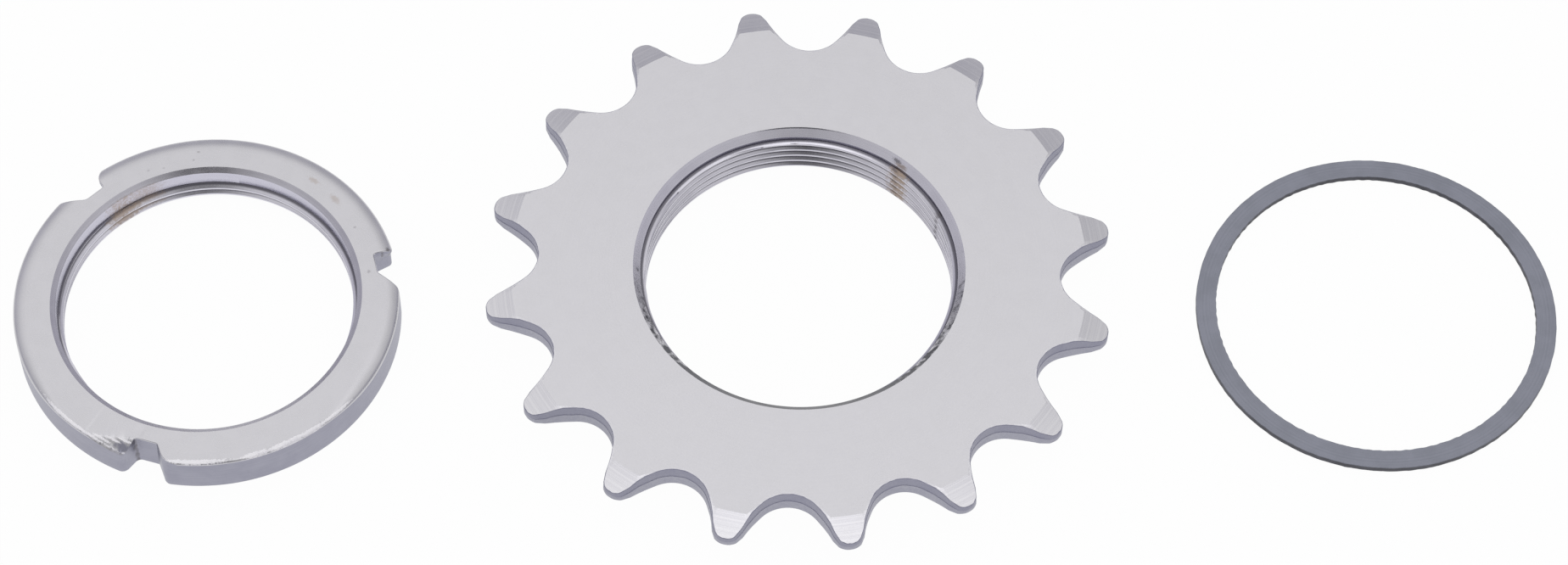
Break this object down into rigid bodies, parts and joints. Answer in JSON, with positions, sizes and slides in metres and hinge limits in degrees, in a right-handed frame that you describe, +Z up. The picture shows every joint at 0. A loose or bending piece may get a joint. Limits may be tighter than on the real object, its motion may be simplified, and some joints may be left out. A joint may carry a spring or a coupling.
{
  "type": "fixed gear bicycle sprocket set",
  "caption": "Flat toothed steel sprocket with a threaded bore and a boss underneath, a threaded lockring with spanner notches, and a thin flat spacer ring, laid side by side.",
  "frame": {"origin": "on the sprocket's axis, in the plane of its boss face, which is the plane that all three pieces lie on", "axes": "+Z up, out of the flat faces of the pieces. +X from the sprocket towards the spacer, with the lockring on the other side. +Y away from the viewer of the picture"},
  "size_m": [0.1693, 0.0678, 0.0064],
  "materials": {
    "sprocket_steel": "satin plated, turned face",
    "lockring_steel": "satin chrome, worn rim",
    "spacer_steel": "dull grey"
  },
  "bodies": {
    "root": {"sprocket": "sprocket_steel", "lockring": "lockring_steel", "spacer": "spacer_steel"}
  },
  "joints": []
}
